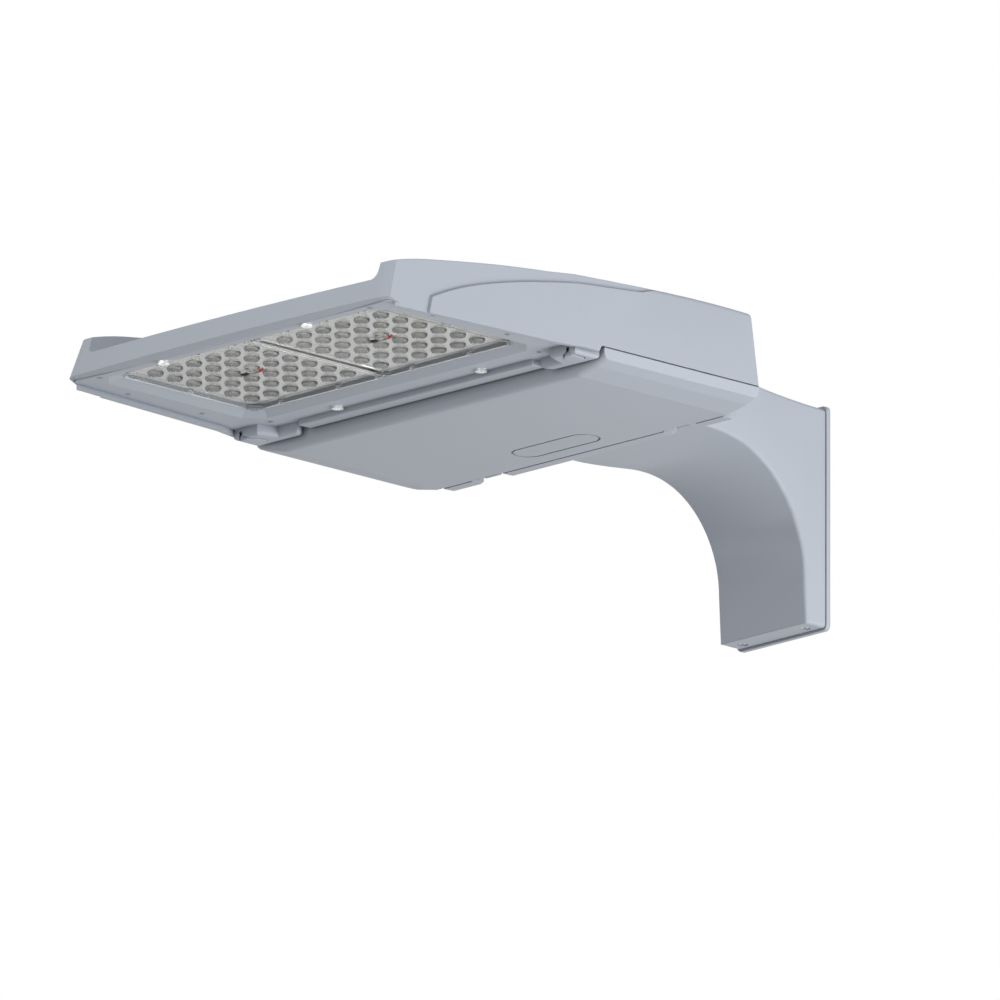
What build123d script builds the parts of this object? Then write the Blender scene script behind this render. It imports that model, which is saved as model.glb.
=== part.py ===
"""Area luminaire head on a pole-mount arm.

Frame: the origin is the centre of the pole plate's back face. +Y points into the pole, the head
reaches along -Y to its nose, +Z is up and the light leaves downward. Sizes are in millimetres.
"""
import os
from math import radians, tan

from build123d import *

os.makedirs("parts", exist_ok=True)

# Head, in plan
rear_y = -212.0
head_length = 386.0
nose_y = rear_y - head_length
nose_bow = 5.0
half_width = 186.0
half_width_nose = half_width - 14.2
nose_corner_radius = 18.0
nose_flare_x = half_width_nose - 0.8
nose_flare_rear_y = rear_y + 112.0
nose_sole_back = 6.2

# Where the door, the LED frame and the step in the sides lie along the head
door_length = 164.5
door_rear_y = rear_y - 1.0
door_front_y = door_rear_y - door_length
frame_rear_y = door_front_y - 2.5
frame_front_y = nose_y + 8.7
step_rear_y = door_front_y - 21.5
taper_y = step_rear_y - 24.0
step_front_half = half_width - 4.5

# Head, in side view, with the rail's height at distances behind the nose
skirt_z = 32.0
frame_z = skirt_z + 3.5
nose_edge_z = frame_z + 2.9
side_draft = 8.4
nose_lean = 20.0
rail_nose_z = 67.2
rail_line = ((8.0, rail_nose_z), (34.0, 73.4), (65.0, 78.2), (126.0, 85.5), (187.0, 90.3), (248.0, 93.4))
rail_crown_z = 96.0
rail_crown_y = rear_y - 58.0
rear_top_z = rail_crown_z - 0.8
rail_edge_radius = 4.5
rear_edge_radius = 3.0

# Scoop between the rails
lip_z = 55.7
lip_y = nose_y + 6.5
deck_foot_y = frame_rear_y - 27.0
deck_foot_z = lip_z + 1.8
deck_end_y = deck_foot_y + 17.0
scoop_half_width = half_width - 33.0
scoop_floor_radius = 6.0
fin_count = 11
fin_pitch = 24.0
fin_thickness = 3.0
fin_top_z = 83.0
fin_knee_z = 66.0
fin_front_y = nose_y + 26.0
fin_knee_y = fin_front_y + 32.0

# Raised cheek on each side, its line at distances behind the nose
cheek_depth = 1.8
cheek_foot_y = nose_y + 50.3
cheek_foot_z = 45.5
cheek_line = ((91.6, 61.7), (123.8, 70.3), (156.0, 77.0), (185.0, 81.5), (209.0, 84.1), (268.0, 89.3))
cheek_end_y = nose_y + 298.0

# Optical bay and window
frame_thickness = 4.0
rim_z = frame_z + frame_thickness
collar_top_z = rim_z + 4.5
lens_gasket_thickness = 1.0
lens_plate_thickness = 3.0
board_thickness = 1.6
bay_roof_z = collar_top_z + lens_gasket_thickness + lens_plate_thickness + board_thickness
window_half_x = half_width - 45.5
window_front_y = frame_front_y + 18.9
window_rear_y = frame_rear_y - 43.0
window_corner = 10.0
flank_width = 10.5
collar_wall = 3.0
frame_side_margin = 5.0
frame_corner_radius = 6.0
bay_margin = 3.0
fit_gap = 0.3

# Driver bay
bay_wall = 5.0
cross_wall_rear_y = door_front_y + 3.5
rear_wall = 6.0
bay_top_z = rail_crown_z - 12.0
bay_corner_radius = 8.0

# Door
door_gap = 1.0
door_floor_z = 20.0
door_facet_z = door_floor_z + 4.0
door_lip_z = door_facet_z + 3.5
door_top_z = frame_z + 0.5
door_seat_z = door_top_z + door_gap
door_lip_half_x = half_width - 1.5
door_facet_half_x = door_lip_half_x - 10.2
door_floor_front_half_x = door_lip_half_x - 29.9
door_floor_rear_half_x = door_floor_front_half_x - 0.8
door_wall = 2.8
door_front_radius = 6.0
door_rear_radius = 4.0
gasket_gap = 0.2
gasket_width = 3.0
pill_rim = 1.6
pill_length = 84.0
pill_width = 26.0
pill_depth = 1.0
pill_y = door_rear_y - 31.0

# Hinge at the rear of the door
hinge_y = rear_y + 3.0
hinge_z = door_floor_z + 5.5
hinge_pin_radius = 2.0
hinge_running_gap = 0.05
tongue_rear_y = hinge_y + 8.0
tongue_half_x = half_width - 38.0
tongue_top_z = hinge_z + 4.5
notch_outer_x = tongue_half_x - 28.9
notch_inner_x = notch_outer_x - 33.8
notch_front_y = hinge_y - 8.5
pin_length = 42.0
lug_width = 14.0
lug_radius = hinge_pin_radius + 1.6

# Latches at the front corners of the door
boss_outer_x = half_width - 5.0
boss_inner_x = boss_outer_x - 25.7
boss_front_y = door_front_y - 28.0
boss_rear_y = door_front_y - 1.1
boss_bottom_z = 27.6
boss_edge_radius = 3.0
boss_top_z = frame_z + 1.0
wing_inner_x = boss_inner_x - 26.3
wing_front_y = boss_front_y + 16.5
pad_outer_x = boss_outer_x - 4.0
pad_inner_x = pad_outer_x - 16.0
pad_front_y = boss_front_y + 2.0
pad_rear_y = pad_front_y + 16.0
pad_proud = 0.9
pad_corner_radius = 2.5
pivot_x = pad_outer_x - 9.0
pivot_y = pad_front_y + 5.5
pivot_radius = 2.5
latch_turn = 11.0
latch_clearance = 0.35
pocket_top_z = frame_z - 2.0
nose_z = boss_bottom_z + 2.0
nose_width = 6.0
nose_x = pivot_x + 2.0
nose_height = 3.0
nose_tip_y = boss_rear_y + 0.35
nose_slot_x = nose_x + 1.5
nose_slot_width = 13.0

# Rib across the frame, in front of the door
rib_width = 13.0
rib_front_y = frame_rear_y - rib_width
rib_proud = 4.5
rib_half_x = wing_inner_x - 5.0
rib_edge_radius = 1.2

# Optics, one module on each side of the centre line
plate_lap = 2.5
plate_inner_x = 0.5
lens_plate_x = window_half_x + plate_lap - plate_inner_x
lens_plate_y = window_rear_y - window_front_y + 5.6
module_x = plate_inner_x + lens_plate_x / 2 - 3.25
module_y = (window_front_y + window_rear_y) / 2 - 1.3
lens_columns = 6
lens_diameter = 12.5
lens_height = 4.6
lens_tip_radius = 3.6
lens_rim = lens_plate_x - 11.5
lens_rim_y = lens_plate_y - 22.0
lens_rim_width = 1.5
lens_field_margin = 29.0
lens_pitch = (lens_rim - lens_field_margin) / (lens_columns - 1)
lens_pitch_y = (lens_rim_y - lens_field_margin) / (lens_columns - 1)
board_field = lens_rim - 5.0
board_field_y = lens_rim_y - 5.0
lens_rim_height = 1.0
chip_cavity = 0.9
chip_size = 3.5
chip_height = 0.7
lead_slot_x = 31.0
lead_slot_y = 7.4
lead_diameter = 1.9
lead_length = 8.0
connector_x = 10.0
connector_y = 6.0
connector_height = 3.2

# Screws that show
frame_screw_radius = 1.9
frame_screw_head = 0.5
frame_screw_shank = 1.4
frame_screw_length = 8.0
button_radius = 4.5
button_height = 2.0
button_shank = 2.5
button_length = 9.0
button_x = 76.0
button_front_y = frame_front_y + 5.3
button_rear_y = frame_rear_y - 19.0
outer_screw_x = half_width - 24.0
inner_screw_x = half_width - 43.7
corner_screw_x = half_width - 43.0
frame_screw_spots = ((outer_screw_x, frame_front_y + 53.8), (outer_screw_x, frame_rear_y - 77.0),
                     (inner_screw_x, frame_rear_y - 24.0), (corner_screw_x, button_front_y))

# Arm
arm_top_head_z = rear_top_z - 2.2
arm_top_rear_z = arm_top_head_z - 8.0
arm_under_z = door_seat_z + 1.5
arm_curve_y = -108.0
arm_leg_z = -48.0
arm_leg_y = -26.0
arm_foot_z = -84.5
arm_foot_y = arm_leg_y + 2.0
arm_half_head = 72.0
arm_flank_y = rear_y + 62.0
arm_half_mid = 56.0
arm_mid_y = -95.0
arm_half_pole = 46.5
arm_wall = 5.0
arm_end_wall = 6.0
arm_plate_gap = -0.4
arm_edge_radius = 3.0
arm_gasket_thickness = 1.5
arm_bolt_x = arm_half_head - 28.0
arm_bolt_upper_z = arm_top_head_z - 17.0
arm_bolt_lower_z = arm_bolt_upper_z - 16.0
arm_bolt_radius = 4.0
arm_bolt_head_radius = 7.0
arm_bolt_head_height = 5.0
wireway_radius = 12.0
set_screw_sink = 2.4

# Pole plate
plate_half_width = arm_half_pole + 0.8
plate_bottom_z = arm_foot_z - 1.8
plate_top_z = arm_top_rear_z + 2.8
plate_thickness = 4.0
plate_corner_radius = 4.0
pole_bolt_spacing = 124.0
pole_bolt_hole_radius = 7.0
plate_wireway_radius = 14.0
shelf_thickness = 6.0
shelf_reach = 12.5
hook_reach = 9.0
hook_thickness = 5.0
set_screw_x = arm_half_pole - 13.5
set_screw_y = -plate_thickness - 8.8
set_screw_head_radius = 3.5
set_screw_radius = 2.5

# Gear in the driver bay
driver_length = 180.0
driver_width = 62.0
driver_height = 36.0
driver_y = rear_y - 50.0
driver_foot = 16.0
driver_foot_thickness = 2.0
surge_radius = 17.0
surge_height = 40.0
surge_x = half_width - 54.0
surge_y = cross_wall_rear_y + 44.0
terminal_x = 76.0 - half_width
terminal_y = cross_wall_rear_y + 39.0
terminal_length = 56.0
terminal_width = 26.0
terminal_height = 22.0

BIG = 400.0
plate_face_y = -plate_thickness
head_height = rail_crown_z + 12.0 - skirt_z
plan_nose_y = nose_y - 16.0


def edges_near(part, low, high):
    """Edges of a part whose middle lies inside a box."""
    found = []
    for edge in part.edges():
        middle = edge.position_at(0.5)
        inside = all(low[k] <= tuple(middle)[k] <= high[k] for k in range(3))
        if inside:
            found.append(edge)
    return found


def plan_sketch(inset, z):
    """Plan of the head at a height, narrowing to the nose, smaller all round by inset."""
    with BuildSketch(Plane.XY.offset(z)) as plan:
        with BuildLine():
            nose_half = half_width_nose - inset
            rear_half = half_width - inset
            side_y = plan_nose_y + nose_bow
            front = ThreePointArc((-nose_half, side_y), (0, plan_nose_y), (nose_half, side_y))
            back_y = rear_y + 30.0
            step_half = step_front_half - inset
            Polyline(front @ 1, (step_half, taper_y), (rear_half, step_rear_y), (rear_half, back_y),
                     (-rear_half, back_y), (-rear_half, step_rear_y), (-step_half, taper_y), front @ 0)
        make_face()
    return plan.sketch


def rail_profile():
    """Side view of the head as high as its rails."""
    with BuildSketch(Plane.YZ.offset(-BIG)) as side:
        with BuildLine():
            front_y = plan_nose_y - 5.0
            top = Spline((front_y, rail_nose_z - 7.0), *[(nose_y + back, z) for back, z in rail_line],
                         (rail_crown_y, rail_crown_z), (rear_y, rear_top_z))
            Polyline(top @ 1, (rear_y, skirt_z), (front_y, skirt_z), top @ 0)
        make_face()
    return side.sketch


def nose_sketch(z, back):
    """Bowed nose with round corners, flaring out behind them, at a height and set back there."""
    with BuildSketch(Plane.XY.offset(z)) as nose:
        with BuildLine():
            side_y = nose_y + nose_bow + back
            flare_x = nose_flare_x - back * 0.3
            front = ThreePointArc((-flare_x, side_y), (0, nose_y + back), (flare_x, side_y))
            Polyline(front @ 1, (BIG, nose_flare_rear_y), (-BIG, nose_flare_rear_y), front @ 0)
        make_face()
        fillet(nose.vertices().group_by(Axis.Y)[0], nose_corner_radius)
    return nose.sketch


def finish(builder, name):
    """Label a finished piece and write it."""
    builder.part.label = name
    export_step(builder.part, "parts/" + name + ".step")


def window_sketch(z, grow, corner):
    """The window's outline at a height, larger all round by grow."""
    with BuildSketch(Plane.XY.offset(z)) as window:
        with Locations((0, (window_front_y + window_rear_y) / 2)):
            Rectangle(2 * (window_half_x + grow), window_rear_y - window_front_y + 2 * grow)
        chamfer(window.vertices(), corner)
    return window.sketch


def frame_sketch(z, grow):
    """Outline of the LED frame at a height, larger all round by grow."""
    with BuildSketch(Plane.XY.offset(z)) as outline:
        add(plan_sketch(frame_side_margin - grow, 0))
        with Locations((0, (frame_front_y + frame_rear_y) / 2)):
            Rectangle(2 * BIG, frame_rear_y - frame_front_y + 2 * grow, mode=Mode.INTERSECT)
        fillet(outline.vertices().group_by(Axis.Y)[0], frame_corner_radius)
    return outline.sketch


def holes(plane, places, radius, depth):
    """Round holes cut straight down from a plane."""
    with BuildSketch(plane) as spots:
        with Locations(*places):
            Circle(radius)
    extrude(spots.sketch, amount=-depth, mode=Mode.SUBTRACT)


def pad_sketch(side, z, grow, turn):
    """Outline of a latch pad, grown by a clearance and turned about its pivot."""
    with BuildSketch(Plane.XY.offset(z)) as pad:
        with BuildLine():
            Polyline((side * pad_inner_x, pad_rear_y), (side * (pad_inner_x + 2), pad_front_y + 5),
                     (side * (pad_inner_x + 8), pad_front_y), (side * pad_outer_x, pad_front_y),
                     (side * (pad_outer_x - 2), pad_rear_y), close=True)
        make_face()
        fillet(pad.vertices(), pad_corner_radius)
        if grow:
            offset(amount=grow)
    return pad.sketch.rotate(Axis((side * pivot_x, pivot_y, 0), (0, 0, -side)), turn)


# Upper housing
with BuildPart() as cheek_core:
    extrude(plan_sketch(cheek_depth, skirt_z), amount=head_height, taper=side_draft)

with BuildPart() as cheek_cut:
    with BuildSketch(Plane.YZ.offset(-BIG)):
        with BuildLine():
            step = Spline((cheek_foot_y, cheek_foot_z),
                          *[(nose_y + back, z) for back, z in cheek_line])
            foot = Line((cheek_foot_y - 6.5, skirt_z - 5.0), (cheek_foot_y, cheek_foot_z))
            Polyline(step @ 1, (cheek_end_y, rail_crown_z + 2.0), (nose_y - 30.0, rail_crown_z + 2.0), (nose_y - 30.0, skirt_z - 5.0), foot @ 0)
        make_face()
    extrude(amount=2 * BIG)
    add(cheek_core.part, mode=Mode.SUBTRACT)

with BuildPart() as scoop:
    with BuildSketch(Plane.YZ.offset(-scoop_half_width)) as scoop_side:
        with BuildLine():
            Polyline((nose_y - 20.0, lip_z - 1.5), (lip_y, lip_z), (deck_foot_y, deck_foot_z),
                     (deck_end_y, rail_crown_z + 10.0), (nose_y - 20.0, rail_crown_z + 10.0), close=True)
        make_face()
        deck_foot = [corner for corner in scoop_side.vertices() if abs(corner.Z - deck_foot_z) < 0.1]
        fillet(deck_foot, scoop_floor_radius)
    extrude(amount=2 * scoop_half_width)
    long_edges = [edge for edge in edges_near(scoop.part, (-BIG, -BIG * 2, lip_z - 5.0),
                                              (BIG, BIG, rail_crown_z + 9.0))
                  if abs(edge.position_at(0.5).X) > scoop_half_width - 1]
    fillet(long_edges, scoop_floor_radius)

with BuildPart() as fin_row:
    for fin in range(fin_count):
        fin_x = (fin - (fin_count - 1) / 2) * fin_pitch
        with BuildSketch(Plane.YZ.offset(fin_x - fin_thickness / 2)):
            with BuildLine():
                Polyline((fin_front_y, lip_z - 2.0), (fin_front_y, lip_z + 2.0), (fin_knee_y, fin_knee_z),
                         (deck_end_y, fin_top_z), (deck_end_y, lip_z - 2.0), close=True)
            make_face()
        extrude(amount=fin_thickness)

with BuildPart() as driver_bay:
    bay_inset = bay_wall + (door_seat_z - skirt_z) * tan(radians(side_draft))
    extrude(plan_sketch(bay_inset, door_seat_z), amount=bay_top_z - door_seat_z, taper=side_draft)
    with BuildSketch(Plane.XY.offset(door_seat_z)):
        with Locations((0, (cross_wall_rear_y + rear_y - rear_wall) / 2)):
            RectangleRounded(2 * half_width, rear_y - rear_wall - cross_wall_rear_y, bay_corner_radius)
    extrude(amount=bay_top_z - door_seat_z, mode=Mode.INTERSECT)

with BuildPart() as nose_form:
    nose_top_z = skirt_z + head_height
    lean_back = (nose_top_z - nose_edge_z) * tan(radians(nose_lean))
    loft([*nose_sketch(nose_edge_z, 0).faces(), *nose_sketch(nose_top_z, lean_back).faces()], ruled=True)
    loft([*nose_sketch(frame_z, nose_sole_back).faces(), *nose_sketch(nose_edge_z, 0).faces()], ruled=True)
    extrude(nose_sketch(frame_z, nose_sole_back), amount=skirt_z - frame_z - 1.0)

rear_plane = Plane(origin=(0, rear_y, 0), x_dir=(-1, 0, 0), z_dir=(0, 1, 0))
arm_bolt_places = [(x, z) for x in (-arm_bolt_x, arm_bolt_x) for z in (arm_bolt_lower_z, arm_bolt_upper_z)]
wireway_z = (arm_bolt_lower_z + arm_bolt_upper_z) / 2
button_places = [(x, y) for x in (-button_x, button_x) for y in (button_front_y, button_rear_y)]
frame_screw_places = [(side * x, y) for side in (-1, 1) for x, y in frame_screw_spots]
lug_x = (notch_inner_x + notch_outer_x) / 2

with BuildPart() as upper_housing:
    extrude(plan_sketch(0, skirt_z), amount=head_height, taper=side_draft)
    extrude(rail_profile(), amount=2 * BIG, mode=Mode.INTERSECT)
    rail_edges = [edge for edge in edges_near(upper_housing.part, (-half_width, nose_y - 20.0, lip_z - 5.7),
                                              (half_width, rear_y - 1.0, rail_crown_z + 3.0))
                  if abs(edge.position_at(0.5).X) > scoop_half_width - 3.0
                  and edge.position_at(0.5).Y > nose_y - 2.0]
    fillet(rail_edges, rail_edge_radius)
    rear_rim = edges_near(upper_housing.part, (-half_width, rear_y - 0.1, door_seat_z + 3.0),
                          (half_width, rear_y + 0.1, rail_crown_z + 3.0))
    fillet(rear_rim, rear_edge_radius)
    add(nose_form.part, mode=Mode.INTERSECT)
    add(cheek_cut.part, mode=Mode.SUBTRACT)
    add(scoop.part, mode=Mode.SUBTRACT)
    add(fin_row.part)
    # The seat of the LED frame, with the sole of the nose left in front of it
    with BuildSketch(Plane.XY.offset(skirt_z - 1.0)):
        add(plan_sketch(frame_side_margin - fit_gap, 0))
        with Locations((0, nose_y - 20.0)):
            Rectangle(2 * BIG, 2 * (frame_rear_y - nose_y + 20.0), mode=Mode.INTERSECT)
    extrude(amount=frame_z - skirt_z + 1.0, mode=Mode.SUBTRACT)
    extrude(frame_sketch(skirt_z - 1.0, fit_gap), amount=rim_z - skirt_z + 1.0, mode=Mode.SUBTRACT)
    extrude(window_sketch(rim_z, collar_wall + bay_margin, 1.0), amount=bay_roof_z - rim_z, mode=Mode.SUBTRACT)
    # The side edges step up to the door's gap
    with BuildSketch(Plane.YZ.offset(-BIG)):
        with BuildLine():
            Polyline((frame_rear_y - 5.0, skirt_z - 2.0), (frame_rear_y, door_seat_z),
                     (rear_y + 10.0, door_seat_z), (rear_y + 10.0, skirt_z - 2.0), close=True)
        make_face()
    extrude(amount=2 * BIG, mode=Mode.SUBTRACT)
    add(driver_bay.part, mode=Mode.SUBTRACT)
    # Room in the side edges for the latch bosses
    for side in (-1, 1):
        with BuildSketch(Plane.XY.offset(skirt_z - 1.0)):
            with Locations((side * (boss_outer_x - 10.0 + fit_gap), (boss_front_y + boss_rear_y) / 2)):
                Rectangle(20.0, boss_rear_y - boss_front_y + 2 * fit_gap)
        extrude(amount=boss_top_z - skirt_z + 1.0 + fit_gap, mode=Mode.SUBTRACT)
    holes(rear_plane, arm_bolt_places, arm_bolt_radius, rear_wall)
    holes(rear_plane, [(0, wireway_z)], wireway_radius, rear_wall)
    # Lugs that carry the door's hinge pins
    for side in (-1, 1):
        with BuildSketch(Plane.YZ.offset(side * lug_x - lug_width / 2)):
            with BuildLine():
                Polyline((hinge_y - lug_radius, hinge_z), (hinge_y - lug_radius, door_seat_z + 10.0),
                         (rear_y - 1.0, door_seat_z + 14.0), (rear_y, door_seat_z + 14.0),
                         (hinge_y + lug_radius, hinge_z + 5.0), (hinge_y + lug_radius, hinge_z), close=True)
            make_face()
            with Locations((hinge_y, hinge_z)):
                Circle(lug_radius)
                Circle(hinge_pin_radius + hinge_running_gap, mode=Mode.SUBTRACT)
        extrude(amount=lug_width)
    holes(Plane.XY.offset(rim_z), button_places, button_shank, -(button_length - frame_thickness))
    holes(Plane.XY.offset(rim_z), frame_screw_places, frame_screw_shank, -(frame_screw_length - frame_thickness))
finish(upper_housing, "upper_housing")

# LED frame: plate, sloped flank, collar, rib and the latch bosses
with BuildPart() as led_frame:
    extrude(frame_sketch(frame_z, 0), amount=frame_thickness)
    extrude(window_sketch(rim_z, collar_wall, window_corner), amount=collar_top_z - rim_z)
    for side in (-1, 1):
        with BuildSketch(Plane.XY.offset(boss_bottom_z)) as boss_plan:
            with BuildLine():
                Polyline((side * boss_inner_x, boss_front_y), (side * boss_outer_x, boss_front_y + 1.0),
                         (side * boss_outer_x, boss_rear_y), (side * (wing_inner_x + 5.0), boss_rear_y),
                         (side * wing_inner_x, wing_front_y), (side * (boss_inner_x - 6.0), wing_front_y),
                         close=True)
            make_face()
        extrude(amount=boss_top_z - boss_bottom_z)
    boss_soles = led_frame.faces().filter_by(lambda face: abs(face.center().Z - boss_bottom_z) < 0.01)
    fillet(boss_soles.edges(), boss_edge_radius)
    loft([*window_sketch(frame_z - 0.5, flank_width * 1.125, window_corner * 1.4).faces(),
          *window_sketch(rim_z, 0, window_corner).faces()], mode=Mode.SUBTRACT)
    extrude(window_sketch(rim_z, 0, window_corner), amount=collar_top_z - rim_z, mode=Mode.SUBTRACT)
    with BuildSketch(Plane.XY.offset(frame_z)):
        with Locations((0, rib_front_y + rib_width / 2)):
            Rectangle(2 * rib_half_x, rib_width)
    extrude(amount=-rib_proud)
    fillet(led_frame.faces().filter_by(lambda face: abs(face.center().Z - frame_z + rib_proud) < 0.01).edges(),
           rib_edge_radius)
    for side in (-1, 1):
        for turn in (0, latch_turn / 2, latch_turn):
            extrude(pad_sketch(side, boss_bottom_z - 1.0, latch_clearance, turn),
                    amount=pocket_top_z - boss_bottom_z + 1.0, mode=Mode.SUBTRACT)
        with BuildSketch(Plane.XY.offset(nose_z - latch_clearance)):
            with Locations((side * nose_slot_x, boss_rear_y - 3.0)):
                Rectangle(nose_slot_width, 14.0)
        extrude(amount=pocket_top_z - nose_z + latch_clearance, mode=Mode.SUBTRACT)
        holes(Plane.XY.offset(pocket_top_z), [(side * pivot_x, pivot_y)],
              pivot_radius + hinge_running_gap, -(rim_z - pocket_top_z))
    holes(Plane.XY.offset(frame_z), button_places, button_shank, -frame_thickness)
    holes(Plane.XY.offset(frame_z), frame_screw_places, frame_screw_shank, -frame_thickness)
finish(led_frame, "led_frame")


def door_section(y, grow, floor_half_x):
    """Cross-section of the pan-shaped door, smaller by a wall where grow is negative."""
    with BuildSketch(Plane(origin=(0, y, 0), x_dir=(1, 0, 0), z_dir=(0, -1, 0))) as section:
        with BuildLine():
            top = door_top_z - grow * 3.0
            points = [(floor_half_x + grow * 0.6, door_floor_z - grow),
                      (door_facet_half_x + grow * 0.8, door_facet_z - grow),
                      (door_lip_half_x + grow, door_lip_z - grow),
                      (door_lip_half_x + 1.0 + grow, top)]
            Polyline(*points, *[(-x, z) for x, z in reversed(points)], close=True)
        make_face()
    return section.sketch


# Driver door
with BuildPart() as driver_door:
    loft([*door_section(door_front_y, 0, door_floor_front_half_x).faces(),
          *door_section(door_rear_y, 0, door_floor_rear_half_x).faces()], ruled=True)
    sole_x = door_lip_half_x - 0.5
    front_sole = edges_near(driver_door.part, (-sole_x, door_front_y - 0.1, door_floor_z - 5.0),
                            (sole_x, door_front_y + 0.1, door_lip_z))
    fillet(front_sole, door_front_radius)
    rear_sole = edges_near(driver_door.part, (-sole_x, door_rear_y - 0.1, door_floor_z - 5.0),
                           (sole_x, door_rear_y + 0.1, door_lip_z))
    fillet(rear_sole, door_rear_radius)
    loft([*door_section(door_front_y + door_wall, -door_wall, door_floor_front_half_x).faces(),
          *door_section(door_rear_y - door_wall, -door_wall, door_floor_rear_half_x).faces()],
         ruled=True, mode=Mode.SUBTRACT)
    # Rear tongue that holds the hinge pins, with a notch for each lug
    with BuildSketch(Plane.YZ.offset(-tongue_half_x)):
        with BuildLine():
            Polyline((door_rear_y - 1.5, door_floor_z), (tongue_rear_y - 3.0, door_floor_z + 0.4),
                     (tongue_rear_y, door_floor_z + 3.0), (tongue_rear_y, tongue_top_z),
                     (door_rear_y - 1.5, tongue_top_z), close=True)
        make_face()
    extrude(amount=2 * tongue_half_x)
    for side in (-1, 1):
        with BuildSketch(Plane.XY.offset(door_floor_z - 5.0)):
            with Locations((side * lug_x, (notch_front_y + tongue_rear_y + 5.0) / 2)):
                Rectangle(notch_outer_x - notch_inner_x, tongue_rear_y + 5.0 - notch_front_y)
        extrude(amount=BIG, mode=Mode.SUBTRACT)
        with BuildSketch(Plane.YZ.offset(side * lug_x - pin_length / 2)):
            with Locations((hinge_y, hinge_z)):
                Circle(hinge_pin_radius + hinge_running_gap)
        extrude(amount=pin_length, mode=Mode.SUBTRACT)
    # Bare recess in the sole
    with BuildSketch(Plane.XY.offset(door_floor_z)):
        with Locations((0, pill_y)):
            SlotOverall(pill_length, pill_width)
            SlotOverall(pill_length - 2 * pill_rim, pill_width - 2 * pill_rim, mode=Mode.SUBTRACT)
    extrude(amount=pill_depth, mode=Mode.SUBTRACT)
    # Sockets in the front wall for the latch noses
    for side in (-1, 1):
        with BuildSketch(Plane(origin=(0, door_front_y, 0), x_dir=(1, 0, 0), z_dir=(0, -1, 0))):
            with Locations((side * nose_x, nose_z + nose_height / 2)):
                Rectangle(nose_width + 1.0, nose_height + 1.0)
        extrude(amount=-door_wall - 1.0, mode=Mode.SUBTRACT)
finish(driver_door, "driver_door")

# Gasket under the driver bay's edge
with BuildPart() as door_gasket:
    with BuildSketch(Plane.XY.offset(door_top_z + gasket_gap)):
        with Locations((0, (door_front_y + door_rear_y) / 2)):
            RectangleRounded(2 * (door_lip_half_x - 1.0), door_rear_y - door_front_y - 1.5, 3.0)
            RectangleRounded(2 * (door_lip_half_x - 1.0 - gasket_width),
                             door_rear_y - door_front_y - 1.5 - 2 * gasket_width, 2.0, mode=Mode.SUBTRACT)
        for side in (-1, 1):
            with Locations((side * lug_x, notch_front_y + 10.0)):
                Rectangle(notch_outer_x - notch_inner_x, 20.0, mode=Mode.SUBTRACT)
    extrude(amount=door_gap - gasket_gap)
finish(door_gasket, "door_gasket")

for side, hand in ((-1, "left"), (1, "right")):
    with BuildPart() as hinge_pin:
        with BuildSketch(Plane.YZ.offset(side * lug_x - pin_length / 2)):
            with Locations((hinge_y, hinge_z)):
                Circle(hinge_pin_radius)
        extrude(amount=pin_length)
    finish(hinge_pin, "hinge_pin_" + hand)

    with BuildPart() as latch:
        extrude(pad_sketch(side, boss_bottom_z - pad_proud, 0, 0), amount=pad_proud + 3.0)
        fillet(latch.faces().sort_by(Axis.Z)[0].edges(), 0.8)
        with BuildSketch(Plane.XY.offset(boss_bottom_z + 1.0)):
            with Locations((side * pivot_x, pivot_y)):
                Circle(pivot_radius)
        extrude(amount=rim_z - 0.5 - boss_bottom_z - 1.0)
        with BuildSketch(Plane.XY.offset(nose_z)):
            with Locations((side * nose_x, (pad_rear_y - 8.0 + nose_tip_y) / 2)):
                Rectangle(nose_width, nose_tip_y - pad_rear_y + 8.0)
        extrude(amount=nose_height)
    finish(latch, "latch_" + hand)

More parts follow.
